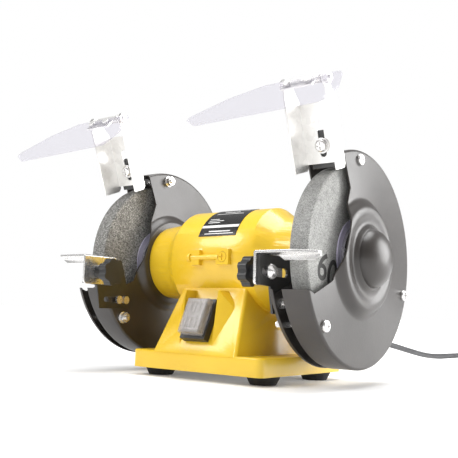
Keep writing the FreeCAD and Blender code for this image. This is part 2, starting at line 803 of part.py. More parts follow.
def bolt_place(side):
    return rest_edge(side) + rest_bolt_back, axis_height - rest_bolt_drop


def rest_bracket(side):
    """Black plate screwed to the motor-side pan; the rest is clamped along its upper slot."""
    edge = rest_edge(side)
    front = edge + bracket_inset
    top = axis_height - rest_drop - rest_sheet - slack
    low = axis_height - rest_flange_height - 1
    foot = axis_height - bracket_screw_drop - bracket_foot_half
    outline = [(front, top), (front, low + 1), (front + 15, low), (front + 19, foot),
               (edge + bracket_heel, foot), (edge + bracket_heel, foot + bracket_foot_rise),
               (edge + bracket_heel - 5, foot + bracket_foot_rise + 4), (edge + bracket_waist, top)]
    plate = prism_x(outline, bracket_inner, guard_face)
    slot_start = front + bracket_slot_margin
    slots = slot_x(slot_start, slot_start + bracket_slot_length, axis_height - rest_bolt_drop,
                   2 * (rest_bolt_radius + slot_clearance), bracket_inner - 1, guard_face + 1)
    plate = plate.cut(slots)
    low_slot = slot_x(edge + bracket_screw_slot[0], edge + bracket_screw_slot[1], axis_height - bracket_screw_drop,
                      2 * (bracket_screw_radius + screw_play), bracket_inner - 1, guard_face + 1)
    return for_side(plate.cut(low_slot), side)


def bracket_screws():
    screws = []
    z = axis_height - bracket_screw_drop
    for y in bracket_screw_ys:
        head = rod_x(3.6, bracket_inner - 2.4, bracket_inner, y, z)
        shank = rod_x(bracket_screw_radius, bracket_inner - 1, guard_face + 6, y, z)
        screws.append(head.fuse(shank))
    return group(screws + [mirrored(screw) for screw in screws])


def bracket_nuts():
    nuts = []
    z = axis_height - bracket_screw_drop
    for y in bracket_screw_ys:
        nut = hex_x(7.0, guard_face + steel, guard_face + steel + 3.2, y, z)
        nuts.append(nut.cut(rod_x(bracket_screw_radius, guard_face, guard_face + 8, y, z)))
    return group(nuts + [mirrored(nut) for nut in nuts])


def tool_rest(side):
    """Bent sheet: side flange on the bracket, table in front of the wheel, lip turned down beside it."""
    edge = rest_edge(side)
    top = axis_height - rest_drop
    flange = box(rest_inner, rest_inner + rest_sheet, edge, edge + rest_flange_length,
                 top - rest_flange_height, top)
    low_corners = [e for e in flange.Edges if e.BoundBox.ZMax < top - rest_flange_height + 1e-6
                   and e.BoundBox.XLength > rest_sheet - 1e-6]
    flange = flange.makeFillet(rest_flange_corner, low_corners)
    end = rest_inner + rest_plate_reach
    outline = [V(rest_inner, edge, top), V(end - rest_chamfer, edge, top), V(end, edge + rest_chamfer - 1, top),
               V(end, edge + rest_plate_depth, top), V(rest_inner, edge + rest_plate_depth, top)]
    table = Part.Face(Part.makePolygon(outline + outline[:1])).extrude(V(0, 0, -rest_sheet))
    lip_outline = [V(end, edge + rest_plate_depth, top), V(end, edge + rest_plate_depth, top - 4),
                   V(end - 5, edge + rest_plate_depth, top - rest_lip_height),
                   V(end - rest_lip_length, edge + rest_plate_depth, top - rest_lip_height),
                   V(end - rest_lip_length - 8, edge + rest_plate_depth, top - 1),
                   V(end - rest_lip_length - 8, edge + rest_plate_depth, top)]
    lip = Part.Face(Part.makePolygon(lip_outline + lip_outline[:1])).extrude(V(0, -rest_sheet, 0))
    y, z = bolt_place(side)
    rest = flange.fuse([table, lip]).cut(rod_x(rest_bolt_radius + 0.1, rest_inner - 1, guard_face, y, z))
    bends = [e for e in rest.Edges if e.BoundBox.XMax < rest_inner + 1e-6 and e.BoundBox.ZMin > top - 1e-6]
    return for_side(rest.makeFillet(1.6, bends), side)


def rest_bolt(side):
    """Carriage bolt: domed head beside the wheel, thread through bracket and rest into the knob."""
    y, z = bolt_place(side)
    seat = guard_face + slide_gap + rest_washer_thickness
    shank = rod_x(rest_bolt_radius, rest_inner - knob_hub_length - knob_thickness + 3, seat + 1, y, z)
    height = rest_bolt_head_height
    sphere_radius = (rest_bolt_head_radius ** 2 + height ** 2) / (2 * height)
    ball = Part.makeSphere(sphere_radius, V(seat + height - sphere_radius, y, z))
    head = ball.common(box(seat, seat + height + 1, y - 10, y + 10, z - 10, z + 10))
    return for_side(shank.fuse(head), side)


def rest_washer(side):
    y, z = bolt_place(side)
    near = guard_face + slide_gap
    washer = rod_x(rest_bolt_head_radius, near, near + rest_washer_thickness, y, z)
    return for_side(washer.cut(rod_x(rest_bolt_radius, near - 1, near + 2, y, z)), side)


def rest_knob(side):
    """Lobed clamping knob on the motor side of the rest."""
    y, z = bolt_place(side)
    disc_far = rest_inner - knob_hub_length - knob_thickness
    disc = rod_x(knob_radius - knob_lobe_radius / 2, disc_far, disc_far + knob_thickness, y, z)
    lobes = []
    for k in range(knob_lobes):
        turn = 2 * math.pi * k / knob_lobes
        reach = knob_radius - knob_lobe_radius
        lobes.append(rod_x(knob_lobe_radius, disc_far, disc_far + knob_thickness,
                           y + reach * math.cos(turn), z + reach * math.sin(turn)))
    hub = rod_x(knob_hub_radius, rest_inner - knob_hub_length, rest_inner - slide_gap, y, z)
    knob = disc.fuse(lobes + [hub]).removeSplitter()
    bore = rod_x(rest_bolt_radius + 0.06, disc_far + 2, rest_inner + 1, y, z)
    return for_side(knob.cut(bore), side)


# ---------------- spark arrestors, arms and shields ----------------

def on_arm(shape, side):
    """Lean a shape built about the arm's clamping screw and set it in front of its wheel."""
    shape.rotate(V(0, 0, 0), X_AXIS, arm_leans[side])
    y, z = around_axis(guard_radius + arm_screw_stand, arm_screw_angle)
    shape.translate(V(sides[side] * wheel_centre, y, z))
    return shape


def spark_arrestor(side):
    near = arm_sheet + slide_gap
    plate = box(-arrestor_half_width, arrestor_half_width, near, near + arrestor_sheet,
                arrestor_bottom, arrestor_top)
    plate = plate.cut(rod_y_dir(arm_screw_radius + 0.1, 0, 9, 0, 0))
    plate = on_arm(plate, side)
    low, high = arrestor_ears[side]
    middle = sides[side] * wheel_centre
    outer = guard_radius - steel
    ear = ring_x(outer, outer - arm_sheet, middle + low, middle + high)
    back_y, back_z = around_axis(2 * outer, arrestor_ear_back_angle)
    front_y2, front_z2 = around_axis(2 * outer, 64.6)
    ear = ear.common(prism_x([(0, axis_height), (back_y, back_z), (front_y2, front_z2)],
                             middle + low - 1, middle + high + 1))
    return plate.fuse(ear)


def flange_outline(depth):
    return [(arm_sheet, arm_flange_bottom + 3), (arm_sheet - 3, arm_flange_bottom), (-depth, arm_flange_bottom),
            (-depth, rod_z - 8), (rod_y - ear_radius, rod_z), (rod_y, rod_z), (rod_y + ear_radius, rod_z),
            (arm_sheet, arm_web_top)]


def shield_arm(side):
    """Slotted channel: web against the arrestor, two flanges forward, ears for the shield's rod."""
    half = arm_width / 2
    web = box(-half, half, 0, arm_sheet, arm_web_bottom, arm_web_top)
    left = prism_x(flange_outline(arm_left_depth), -half, -half + arm_sheet)
    right = prism_x(flange_outline(arm_right_depth), half - arm_sheet, half)
    ears = [rod_x(ear_radius, -half, -half + arm_sheet, rod_y, rod_z),
            rod_x(ear_radius, half - arm_sheet, half, rod_y, rod_z)]
    radius = arm_slot_width / 2
    slot = box(-radius, radius, -1, arm_sheet + 1, arm_slot_bottom + radius, arm_slot_top - radius)
    slot = slot.fuse([rod_y_dir(radius, -1, arm_sheet + 1, 0, arm_slot_bottom + radius),
                      rod_y_dir(radius, -1, arm_sheet + 1, 0, arm_slot_top - radius)])
    arm = web.fuse([left, right] + ears).cut(slot)
    arm = arm.cut(rod_x(rod_radius, -half - 1, half + 1, rod_y, rod_z))
    return on_arm(arm, side)


def arm_screw(side):
    seat = -slide_gap - arm_washer_thickness
    shank = rod_y_dir(arm_screw_radius, seat - 1, arm_sheet + arrestor_sheet + 6, 0, 0)
    head = rod_y_dir(arm_screw_head, seat - 3.2, seat, 0, 0)
    rims = [edge for edge in head.Edges if edge.BoundBox.YMax < seat - 3]
    head = head.makeFillet(1.8, rims)
    face = seat - 1.8
    head = head.cut(box(-0.6, 0.6, face - 2, face, -3.2, 3.2))
    head = head.cut(box(-3.2, 3.2, face - 2, face, -0.6, 0.6))
    return on_arm(shank.fuse(head), side)


def arm_washer(side):
    washer = rod_y_dir(arm_washer_radius, -slide_gap - arm_washer_thickness, -slide_gap, 0, 0)
    return on_arm(washer.cut(rod_y_dir(arm_screw_radius, -3, 3, 0, 0)), side)


def hex_y(width, y0, y1):
    corner = width / math.sqrt(3)
    points = [V(corner * math.sin(math.radians(60 * k)), y0, corner * math.cos(math.radians(60 * k)))
              for k in range(7)]
    return Part.Face(Part.makePolygon(points)).extrude(V(0, y1 - y0, 0))


def arm_nut(side):
    back = arm_sheet + slide_gap + arrestor_sheet
    nut = hex_y(8.0, back, back + 4).cut(rod_y_dir(arm_screw_radius, back - 1, back + 9, 0, 0))
    return on_arm(nut, side)


def shield_rod(side):
    """Pivot rod through both ears, a nut on each end."""
    half = arm_width / 2
    reach = half + rod_nut_thickness + 1.5
    rod = rod_x(rod_radius, -reach, reach, rod_y, rod_z)
    nuts = [hex_x(rod_nut_width, half, half + rod_nut_thickness, rod_y, rod_z),
            hex_x(rod_nut_width, -half - rod_nut_thickness, -half, rod_y, rod_z)]
    return on_arm(rod.fuse(nuts), side)


def on_rod(shape, side):
    """Tilt a shape built about the rod, sheet level and forwards, then carry it to the arm."""
    shape.rotate(V(0, 0, 0), X_AXIS, shield_slopes[side] - arm_leans[side])
    shape.translate(V(0, rod_y, rod_z))
    return on_arm(shape, side)


def rivet_holes(radius):
    return [rod_z_dir(radius, 0, shield_offset + 10, x, -rivet_reach)
            for x in (-rivet_spacing / 2, rivet_spacing / 2)]


def shield_holder(side):
    """Strip curled round the rod, its leaf under the eye shield."""
    half = holder_half_length
    eye = rod_x(holder_eye_radius, -half, half, 0, 0)
    leaf = box(-half, half, -holder_leaf_depth, 0, shield_offset - holder_sheet, shield_offset)
    holder = eye.fuse(leaf).cut(rod_x(rod_radius + rod_clearance, -half - 1, half + 1, 0, 0))
    return on_rod(holder.cut(rivet_holes(rivet_radius)), side)


def eye_shield(side):
    outline = [V(x, -forward, shield_offset) for x, forward in shield_outline]
    sheet = Part.Face(Part.makePolygon(outline + outline[:1])).extrude(V(0, 0, shield_thickness))
    uprights = [edge for edge in sheet.Edges if edge.BoundBox.ZLength > shield_thickness - 1e-6]
    return on_rod(sheet.makeFillet(shield_corner, uprights).cut(rivet_holes(rivet_radius)), side)


def shield_rivets(side):
    rivets = []
    for x in (-rivet_spacing / 2, rivet_spacing / 2):
        top = shield_offset + shield_thickness
        core = rod_z_dir(rivet_radius, shield_offset - holder_sheet - 1, top + 0.5, x, -rivet_reach)
        head = rod_z_dir(3.0, top, top + 1.2, x, -rivet_reach)
        tail = rod_z_dir(2.4, shield_offset - holder_sheet - 1.1, shield_offset - holder_sheet, x, -rivet_reach)
        rivets.append(core.fuse([head, tail]))
    return on_rod(group(rivets), side)


# ---------------- electrical pieces in the base ----------------

floor_top = plate_bottom + bottom_plate_thickness


def capacitor():
    z = floor_top + clip_sheet + capacitor_radius
    can = rod_x(capacitor_radius, -capacitor_length / 2, capacitor_length / 2, capacitor_y, z)
    tags = [box(capacitor_length / 2 - 1, capacitor_length / 2 + 6, capacitor_y + dy - 3, capacitor_y + dy + 3,
                z - 0.4, z + 0.4) for dy in (-6, 6)]
    return can.fuse(tags)


def capacitor_clip():
    z = floor_top + clip_sheet + capacitor_radius
    outer = capacitor_radius + clip_sheet
    hoop = rod_x(outer, -clip_width / 2, clip_width / 2, capacitor_y, z)
    foot = box(-clip_width / 2, clip_width / 2, capacitor_y - outer - 8, capacitor_y, floor_top,
               floor_top + clip_sheet)
    bore = rod_x(capacitor_radius, -clip_width, clip_width, capacitor_y, z)
    return hoop.fuse(foot).cut(bore)


def terminal_block():
    length, depth, height = terminal_size
    block = box(-length / 2, length / 2, terminal_y - depth / 2, terminal_y + depth / 2,
                floor_top, floor_top + height)
    for k in range(3):
        x = (k - 1) * length / 3
        for dy in (-depth / 4, depth / 4):
            block = block.cut(rod_z_dir(2.2, floor_top + height - 4, floor_top + height + 1, x, terminal_y + dy))
    return block


# ---------------- cord ----------------

def strain_relief():
    back = cord_boss_end
    collar = rod_y_dir(relief_collar_radius, back, back + relief_collar_length, cord_exit_x, cord_exit_z)
    neck = rod_y_dir(relief_radius, back - 9, back + 1, cord_exit_x, cord_exit_z)
    sleeve = Part.makeCone(relief_radius, cord_radius + 1.0, relief_length, V(cord_exit_x, back, cord_exit_z),
                           V(0, 1, 0))
    bore = rod_y_dir(cord_radius, back + relief_length - 6, back + relief_length + 1, cord_exit_x, cord_exit_z)
    return collar.fuse([neck, sleeve]).cut(bore)


coil_x, coil_y = coil_centre
outer_turn_radius = coil_turn_radius + 2 * cord_radius + 0.2
plug_tail_y = coil_y - plug_tail_gap
lay = cord_radius + 0.1
# the cord's route from inside the strain relief, over the bench, to the coil
route = [
    V(cord_exit_x, cord_boss_end + relief_length - 6, cord_exit_z),
    V(-9.6, 118, 44.3),
    V(-7.5, 168, 41.0),
    V(-4.0, 222, 35.4),
    V(-0.5, 276, 28.4),
    V(1.5, 330, 20.6),
    V(0.0, 384, 12.8),
    V(-4.5, 438, 6.6),
    V(-8.5, 492, 3.7),
    V(-8.0, 545, lay),
    V(-2.0, 594, lay),
    V(4.5, 634, lay),
    V(coil_x - outer_turn_radius, coil_y, lay),
]


def cord_path(points):
    """Straight runs joined by tangent arcs, each as large as its two runs allow."""
    edges = []
    length = 0.0
    start = points[0]
    for k in range(1, len(points) - 1):
        before = (points[k] - points[k - 1])
        after = (points[k + 1] - points[k])
        turn = before.getAngle(after)
        run = min(before.Length, after.Length)
        radius = 0.45 * run / math.tan(turn / 2)
        cut_back = 0.45 * run
        before.normalize()
        after.normalize()
        arc_start = points[k] - before * cut_back
        arc_end = points[k] + after * cut_back
        towards = (after - before)
        towards.normalize()
        centre = points[k] + towards * (radius / math.cos(turn / 2))
        middle = centre - towards * radius
        edges.append(Part.LineSegment(start, arc_start).toShape())
        edges.append(Part.Arc(arc_start, middle, arc_end).toShape())
        length += (arc_start - start).Length + radius * turn
        start = arc_end
        print("cord arc", k, "turn", round(math.degrees(turn), 1), "radius", round(radius, 1))
    edges.append(Part.LineSegment(start, points[-1]).toShape())
    length += (points[-1] - start).Length
    return Part.Wire(edges), length


def cord_tube(points):
    path, length = cord_path(points)
    along = points[1] - points[0]
    section = Part.Wire(Part.makeCircle(cord_radius, points[0], along))
    tube = path.makePipeShell([section], True, False)
    expected = math.pi * cord_radius ** 2 * length
    print("cord length", round(length), "volume ratio", round(tube.Volume / expected, 4))
    return tube


def cord_coil():
    """Outer shape of five turns, three on the bench and two on top of them."""
    inner = coil_turn_radius - 3 * cord_radius - 0.2
    outer = coil_turn_radius + 3 * cord_radius + 0.2
    height = 2 * cord_radius + 2 * cord_radius * math.cos(math.radians(30))
    ring = rod_z_dir(outer, 0, height, coil_x, coil_y).cut(rod_z_dir(inner, -1, height + 1, coil_x, coil_y))
    top_edges = [edge for edge in ring.Edges if edge.BoundBox.ZMin > height - 1e-6]
    return ring.makeFillet(2.5, top_edges)


def plug_lead():
    """Straight end of the cord, from the coil's outer turn into the plug's tail."""
    return rod_y_dir(cord_radius, plug_tail_y - 2, coil_y - 12, coil_x + outer_turn_radius, plug_thickness / 2)


def plug_pieces():
    """Flat moulded two-pin plug beside the coil, its tail in line with the coil's outer turn."""
    x = coil_x + outer_turn_radius
    back = plug_tail_y - plug_tail_length + 2
    middle_z = plug_thickness / 2
    body = box(x - plug_width / 2, x + plug_width / 2, back - plug_length, back, 0, plug_thickness)
    uprights = [edge for edge in body.Edges if edge.BoundBox.ZLength > plug_thickness - 1e-6]
    body = body.makeFillet(plug_corner, uprights)
    tail = Part.makeCone(cord_radius + 1.2, plug_thickness / 2 - 1.5, plug_tail_length, V(x, plug_tail_y, middle_z),
                         V(0, -1, 0))
    socket = rod_y_dir(cord_radius, plug_tail_y - 2, plug_tail_y + 1, x, middle_z)
    pins = [rod_y_dir(pin_radius, back - plug_length - pin_length, back - plug_length,
                      x + side * pin_spacing / 2, middle_z) for side in (-1, 1)]
    return body.fuse(tail).cut(socket), group(pins)


# ---------------- write every node ----------------

left_end, right_end = motor_ends()
outer_rings, inner_rings, balls = bearing_pieces()
inner_flange = wheel_flange(shoulder, shoulder + flange_thickness)
outer_flange = wheel_flange(outer_flange_face, outer_flange_face - flange_thickness)
plug_body, plug_pins = plug_pieces()

save("base_casting", base_casting())
save("bottom_plate", bottom_plate())
save("bottom_screws", bottom_screws())
save("rubber_feet", rubber_feet())
save("switch_housing", switch_housing())
save("switch_rocker", switch_rocker())
save("switch_dust_cover", dust_cover())
save("motor_end_left", left_end)
save("motor_end_right", right_end)
save("motor_centre_band", centre_band())
save("tie_bolts", tie_bolts())
save("lock_screw", lock_screw())
save("rating_plate", rating_plate())
save("stator_core", stator_core())
save("stator_windings", windings())
save("rotor_core", rotor_core())
save("shaft", shaft())
save("bearing_outer_rings", outer_rings)
save("bearing_inner_rings", inner_rings)
save("bearing_balls", balls)
save("wave_washer", wave_washer())
save("grinding_wheel_right", grinding_wheel())
save("grinding_wheel_left", mirrored(grinding_wheel()))
save("wheel_bushes", wheel_bushes())
save("wheel_blotters", wheel_blotters())
save("wheel_flanges", wheel_flanges([inner_flange, outer_flange]))
save("shaft_nuts", group([shaft_nut(), mirrored(shaft_nut())]))
save("guard_pan_right", motor_side_pan(narrow_rim))
save("guard_cover_right", outer_cover(wide_rim))
save("guard_pan_left", mirrored(motor_side_pan(wide_rim)))
save("guard_cover_left", mirrored(outer_cover(narrow_rim)))
save("guard_bolts", guard_bolts())
save("guard_mount_screws", guard_mount_screws())
save("rest_brackets", group([rest_bracket(side) for side in sides]))
save("bracket_screws", bracket_screws())
save("bracket_nuts", bracket_nuts())
save("spark_arrestors", group([spark_arrestor(side) for side in sides]))
save("arm_screws", group([piece(side) for side in sides for piece in (arm_screw, arm_washer)]))
save("m5_nuts", group([guard_nuts()] + [arm_nut(side) for side in sides]))
for side in sides:
    save("tool_rest_" + side, tool_rest(side))
    save("rest_bolt_" + side, group([rest_bolt(side), rest_washer(side)]))
    save("rest_knob_" + side, rest_knob(side))
    save("shield_arm_" + side, shield_arm(side))
    save("shield_rod_" + side, shield_rod(side))
    save("shield_holder_" + side, group([shield_holder(side), shield_rivets(side)]))
    save("eye_shield_" + side, eye_shield(side))
save("run_capacitor", group([capacitor(), capacitor_clip()]))
save("terminal_block", terminal_block())
save("strain_relief", strain_relief())
save("mains_cord", group([cord_tube(route), plug_lead()]))
save("cord_coil", cord_coil())
save("plug_body", plug_body)
save("plug_pins", plug_pins)
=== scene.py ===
import json
import math

import bmesh
import bpy
from mathutils import Matrix, Vector


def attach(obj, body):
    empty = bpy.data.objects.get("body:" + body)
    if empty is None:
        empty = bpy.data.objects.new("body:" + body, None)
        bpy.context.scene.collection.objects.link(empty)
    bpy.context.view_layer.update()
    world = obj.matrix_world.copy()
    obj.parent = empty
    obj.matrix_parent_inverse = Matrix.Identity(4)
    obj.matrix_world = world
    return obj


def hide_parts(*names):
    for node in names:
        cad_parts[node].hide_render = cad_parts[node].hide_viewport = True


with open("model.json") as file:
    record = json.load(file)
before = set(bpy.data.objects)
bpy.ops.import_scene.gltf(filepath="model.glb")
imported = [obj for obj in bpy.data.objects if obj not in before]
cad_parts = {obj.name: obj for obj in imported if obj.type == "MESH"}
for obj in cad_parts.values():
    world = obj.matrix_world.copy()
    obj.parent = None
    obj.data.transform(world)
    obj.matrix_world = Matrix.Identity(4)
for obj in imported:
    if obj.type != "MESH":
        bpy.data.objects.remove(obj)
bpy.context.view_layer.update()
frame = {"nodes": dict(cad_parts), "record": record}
nodes = frame["nodes"]
print("frame loaded,", len(nodes), "nodes")


def mm(*values):
    return Vector([v / 1000 for v in values])


shaftMiddle = mm(0, 0, 102)
mergeGap = 1e-6


def linked(name, data):
    thing = bpy.data.objects.new(name, data)
    bpy.context.scene.collection.objects.link(thing)
    return thing


def meshOf(bm, name):
    mesh = bpy.data.meshes.new(name)
    bm.to_mesh(mesh)
    bm.free()
    return mesh


def takenMesh(thing):
    mesh = bpy.data.meshes.new_from_object(thing.evaluated_get(bpy.context.evaluated_depsgraph_get()))
    bpy.data.objects.remove(thing)
    return mesh


def spun(points, centre, axis, steps):
    bm = bmesh.new()
    verts = [bm.verts.new(point) for point in points]
    edges = [bm.edges.new(pair) for pair in zip(verts, verts[1:])]
    bmesh.ops.spin(bm, geom=verts + edges, cent=centre, axis=axis, angle=math.tau, steps=steps,
                   use_merge=True)
    bmesh.ops.remove_doubles(bm, verts=bm.verts, dist=mergeGap)
    return bm


cameraSettings = {
    "place": (383.8, -517.8, 55.8),
    "azimuth": 37.72,
    "upward": 7.47,
    "roll": 1.91,
    "lens": 56.09,
    "shift": (0.0026, -0.0217),
}


def addCamera(s):
    data = bpy.data.cameras.new("grinderCamera")
    data.sensor_width = 36.0
    data.lens = s["lens"]
    data.shift_x, data.shift_y = s["shift"]
    data.clip_start = 0.02
    camera = linked("grinderCamera", data)
    turn = (Matrix.Rotation(math.radians(s["azimuth"]), 4, "Z")
            @ Matrix.Rotation(math.radians(90 + s["upward"]), 4, "X")
            @ Matrix.Rotation(math.radians(s["roll"]), 4, "Z"))
    camera.matrix_world = Matrix.Translation(mm(*s["place"])) @ turn
    bpy.context.scene.camera = camera


addCamera(cameraSettings)


def newMaterial(name, colour, roughness, metallic=0.0, **sockets):
    material = bpy.data.materials.new(name)
    material.use_nodes = True
    shader = material.node_tree.nodes["Principled BSDF"]
    shader.inputs["Base Color"].default_value = (*colour, 1.0)
    shader.inputs["Roughness"].default_value = roughness
    shader.inputs["Metallic"].default_value = metallic
    for socket, value in sockets.items():
        shader.inputs[socket.replace("_", " ")].default_value = value
    return material


def objectPoint(tree, stretch=(1, 1, 1)):
    point = tree.nodes.new("ShaderNodeTexCoord")
    mapping = tree.nodes.new("ShaderNodeMapping")
    mapping.inputs["Scale"].default_value = stretch
    tree.links.new(point.outputs["Object"], mapping.inputs["Vector"])
    return mapping.outputs["Vector"]


def noise(tree, scale, detail=3.0, stretch=(1, 1, 1), roughness=0.5):
    texture = tree.nodes.new("ShaderNodeTexNoise")
    texture.inputs["Scale"].default_value = scale
    texture.inputs["Detail"].default_value = detail
    texture.inputs["Roughness"].default_value = roughness
    tree.links.new(objectPoint(tree, stretch), texture.inputs["Vector"])
    return texture.outputs["Fac"]


def ramp(tree, factor, stops):
    node = tree.nodes.new("ShaderNodeValToRGB")
    elements = node.color_ramp.elements
    while len(elements) < len(stops):
        elements.new(0.5)
    for element, (place, colour) in zip(elements, stops):
        element.position = place
        element.color = (*colour, 1.0)
    tree.links.new(factor, node.inputs["Fac"])
    return node.outputs["Color"]


def level(tree, factor, low, high):
    node = tree.nodes.new("ShaderNodeMapRange")
    node.inputs["To Min"].default_value = low
    node.inputs["To Max"].default_value = high
    tree.links.new(factor, node.inputs["Value"])
    return node.outputs["Result"]


def bump(tree, height, distance, strength=1.0):
    node = tree.nodes.new("ShaderNodeBump")
    node.inputs["Distance"].default_value = distance
    node.inputs["Strength"].default_value = strength
    tree.links.new(height, node.inputs["Height"])
    tree.links.new(node.outputs["Normal"], shaderOf(tree).inputs["Normal"])


def shaderOf(tree):
    return tree.nodes["Principled BSDF"]


def tinted(material, scale, dark, light, spread=(0.3, 0.7), detail=4.0, stretch=(1, 1, 1)):
    tree = material.node_tree
    colour = ramp(tree, noise(tree, scale, detail, stretch), [(spread[0], dark), (spread[1], light)])
    tree.links.new(colour, shaderOf(tree).inputs["Base Color"])


def roughened(material, scale, low, high, stretch=(1, 1, 1)):
    tree = material.node_tree
    rough = level(tree, noise(tree, scale, 4.0, stretch), low, high)
    tree.links.new(rough, shaderOf(tree).inputs["Roughness"])


def grained(material, scale, distance, detail=2.0, stretch=(1, 1, 1)):
    tree = material.node_tree
    bump(tree, noise(tree, scale, detail, stretch), distance)


def makeEnamel():
    paint = newMaterial("yellowEnamel", (0.82, 0.54, 0.020), 0.32, Coat_Weight=0.4, Coat_Roughness=0.12)
    tinted(paint, 14, (0.76, 0.48, 0.016), (0.84, 0.56, 0.024))
    roughened(paint, 40, 0.24, 0.38)
    grained(paint, 420, 0.00016, 1.0)
    return paint


def makeGuardPaint():
    paint = newMaterial("guardPaint", (0.022, 0.018, 0.015), 0.36, Coat_Weight=0.35, Coat_Roughness=0.26)
    tinted(paint, 25, (0.018, 0.014, 0.012), (0.030, 0.024, 0.020))
    roughened(paint, 60, 0.34, 0.46)
    grained(paint, 900, 0.00008, 2.0)
    return paint


def makeBlackSteel():
    paint = newMaterial("blackSteel", (0.012, 0.012, 0.012), 0.34, Coat_Weight=0.4, Coat_Roughness=0.2)
    tinted(paint, 90, (0.008, 0.008, 0.008), (0.02, 0.019, 0.018))
    roughened(paint, 80, 0.28, 0.44)
    grained(paint, 700, 0.00010, 2.0)
    return paint


def makeGalvanised():
    metal = newMaterial("galvanisedSheet", (0.82, 0.81, 0.79), 0.34, 0.75)
    tree = metal.node_tree
    cells = tree.nodes.new("ShaderNodeTexVoronoi")
    cells.inputs["Scale"].default_value = 240
    tree.links.new(objectPoint(tree), cells.inputs["Vector"])
    tone = ramp(tree, cells.outputs["Color"], [(0.0, (0.76, 0.75, 0.73)), (1.0, (0.88, 0.87, 0.85))])
    tree.links.new(tone, shaderOf(tree).inputs["Base Color"])
    roughened(metal, 60, 0.28, 0.42)
    grained(metal, 300, 0.00004, 2.0)
    return metal


def makeZinc(name="brightZinc", tone=(0.80, 0.79, 0.78), dull=(0.66, 0.65, 0.64), low=0.18, high=0.34):
    metal = newMaterial(name, tone, 0.25, 0.9)
    tinted(metal, 35, dull, tone)
    roughened(metal, 120, low, high)
    grained(metal, 500, 0.00004, 3.0, (0.15, 1, 1))
    return metal


def makeGrit(name, tones, scale, depth):
    stone = newMaterial(name, tones[1], 0.9)
    tree = stone.node_tree
    grains = tree.nodes.new("ShaderNodeTexVoronoi")
    grains.inputs["Scale"].default_value = scale
    tree.links.new(objectPoint(tree), grains.inputs["Vector"])
    grainTone = ramp(tree, grains.outputs["Color"], [(0.15, tones[0]), (0.5, tones[1]), (0.9, tones[2])])
    patches = ramp(tree, noise(tree, scale / 16, 5.0), [(0.3, (0.80, 0.80, 0.80)), (0.7, (1.0, 1.0, 1.0))])
    mix = tree.nodes.new("ShaderNodeMix")
    mix.data_type = "RGBA"
    mix.blend_type = "MULTIPLY"
    mix.inputs["Factor"].default_value = 1.0
    tree.links.new(grainTone, mix.inputs["A"])
    tree.links.new(patches, mix.inputs["B"])
    tree.links.new(mix.outputs["Result"], shaderOf(tree).inputs["Base Color"])
    bump(tree, grains.outputs["Distance"], depth)
    return stone


def makePlastic(name, dark, light, low, high, grain=900, depth=0.00006):
    plastic = newMaterial(name, light, low)
    tinted(plastic, 60, dark, light)
    roughened(plastic, 90, low, high)
    grained(plastic, grain, depth)
    return plastic


def makeClear(name, tint, roughness, alpha):
    clear = newMaterial(name, tint, roughness, IOR=1.49, Alpha=alpha)
    clear.surface_render_method = "BLENDED"
    grained(clear, 45, 0.00003, 2.0)
    return clear


enamel = makeEnamel()
guardPaint = makeGuardPaint()
blackSteel = makeBlackSteel()
galvanised = makeGalvanised()
zinc = makeZinc()
steel = makeZinc("machinedSteel", (0.66, 0.66, 0.67), (0.56, 0.56, 0.57), 0.22, 0.36)
lamination = makeZinc("stampedCore", (0.30, 0.30, 0.31), (0.22, 0.22, 0.23), 0.35, 0.5)
brass = makeZinc("nickelledBrass", (0.70, 0.62, 0.44), (0.60, 0.52, 0.36), 0.18, 0.3)
copper = makeZinc("varnishedCopper", (0.62, 0.26, 0.10), (0.42, 0.16, 0.06), 0.22, 0.4)
coarseGrit = makeGrit("coarseGrit", [(0.10, 0.097, 0.09), (0.27, 0.265, 0.25), (0.56, 0.55, 0.52)],
                      1300, 0.0007)
fineGrit = makeGrit("fineGrit", [(0.20, 0.20, 0.19), (0.36, 0.36, 0.345), (0.58, 0.58, 0.56)],
                    2400, 0.0003)
paper = makePlastic("blottingPaper", (0.50, 0.47, 0.62), (0.66, 0.63, 0.78), 0.8, 0.95, 1400, 0.0001)
blackPlastic = makePlastic("blackPlastic", (0.012, 0.012, 0.012), (0.024, 0.024, 0.024), 0.32, 0.46)
labelFoil = makePlastic("labelFoil", (0.010, 0.010, 0.010), (0.016, 0.016, 0.016), 0.22, 0.32, 1200, 0.00002)
rubber = makePlastic("footRubber", (0.010, 0.010, 0.010), (0.020, 0.019, 0.018), 0.65, 0.85, 500, 0.0001)
whitePlastic = makePlastic("whitePlastic", (0.66, 0.65, 0.61), (0.80, 0.79, 0.75), 0.35, 0.5)
labelInk = makePlastic("labelInk", (0.70, 0.70, 0.69), (0.82, 0.82, 0.81), 0.4, 0.5, 1200, 0.00002)
wheelInk = makePlastic("wheelInk", (0.035, 0.034, 0.033), (0.060, 0.058, 0.056), 0.7, 0.85, 1500, 0.0001)
sheath = makePlastic("cordSheath", (0.028, 0.028, 0.030), (0.050, 0.050, 0.054), 0.38, 0.55, 300, 0.00008)
smoke = makeClear("smokyCover", (0.46, 0.43, 0.41), 0.14, 0.42)
clearSheet = makeClear("clearShield", (0.44, 0.42, 0.50), 0.06, 0.26)
print("materials made")

